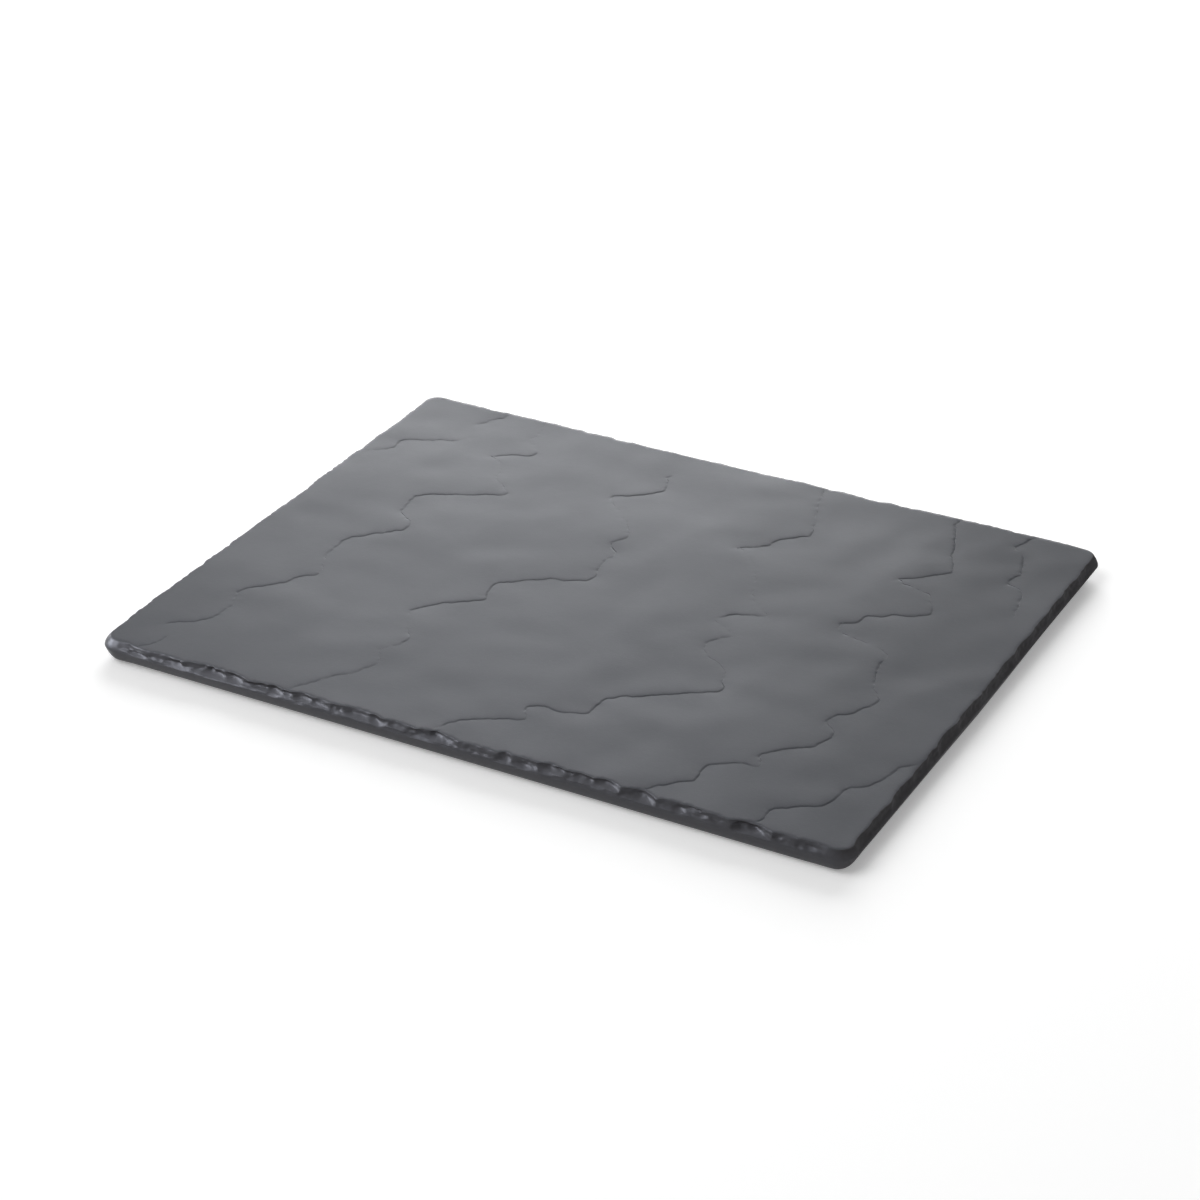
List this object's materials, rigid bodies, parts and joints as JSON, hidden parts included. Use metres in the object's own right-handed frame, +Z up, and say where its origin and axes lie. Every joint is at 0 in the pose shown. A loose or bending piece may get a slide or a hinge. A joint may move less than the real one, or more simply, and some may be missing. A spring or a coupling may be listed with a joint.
{
  "type": "rectangular serving platter",
  "caption": "Flat rectangular serving platter with rounded corners, a riven slate-look top, a chipped upper edge, an undercut base and low rubber feet.",
  "frame": {"origin": "on the table, under the middle of the platter", "axes": "+X along the long side, +Y to the back, +Z up"},
  "size_m": [0.28, 0.22, 0.0097],
  "materials": {
    "slab": "satin charcoal, fine grained, slate look",
    "foot_rubber": "matte black, moulded",
    "foam_tape": "off-white closed-cell foam, sticky on both faces"
  },
  "bodies": {
    "root": {"platter_slab": "slab", "foot_front_left": "foot_rubber", "foot_front_right": "foot_rubber", "foot_back_left": "foot_rubber", "foot_back_right": "foot_rubber", "foot_tape_front_left": "foam_tape", "foot_tape_front_right": "foam_tape", "foot_tape_back_left": "foam_tape", "foot_tape_back_right": "foam_tape"}
  },
  "joints": []
}
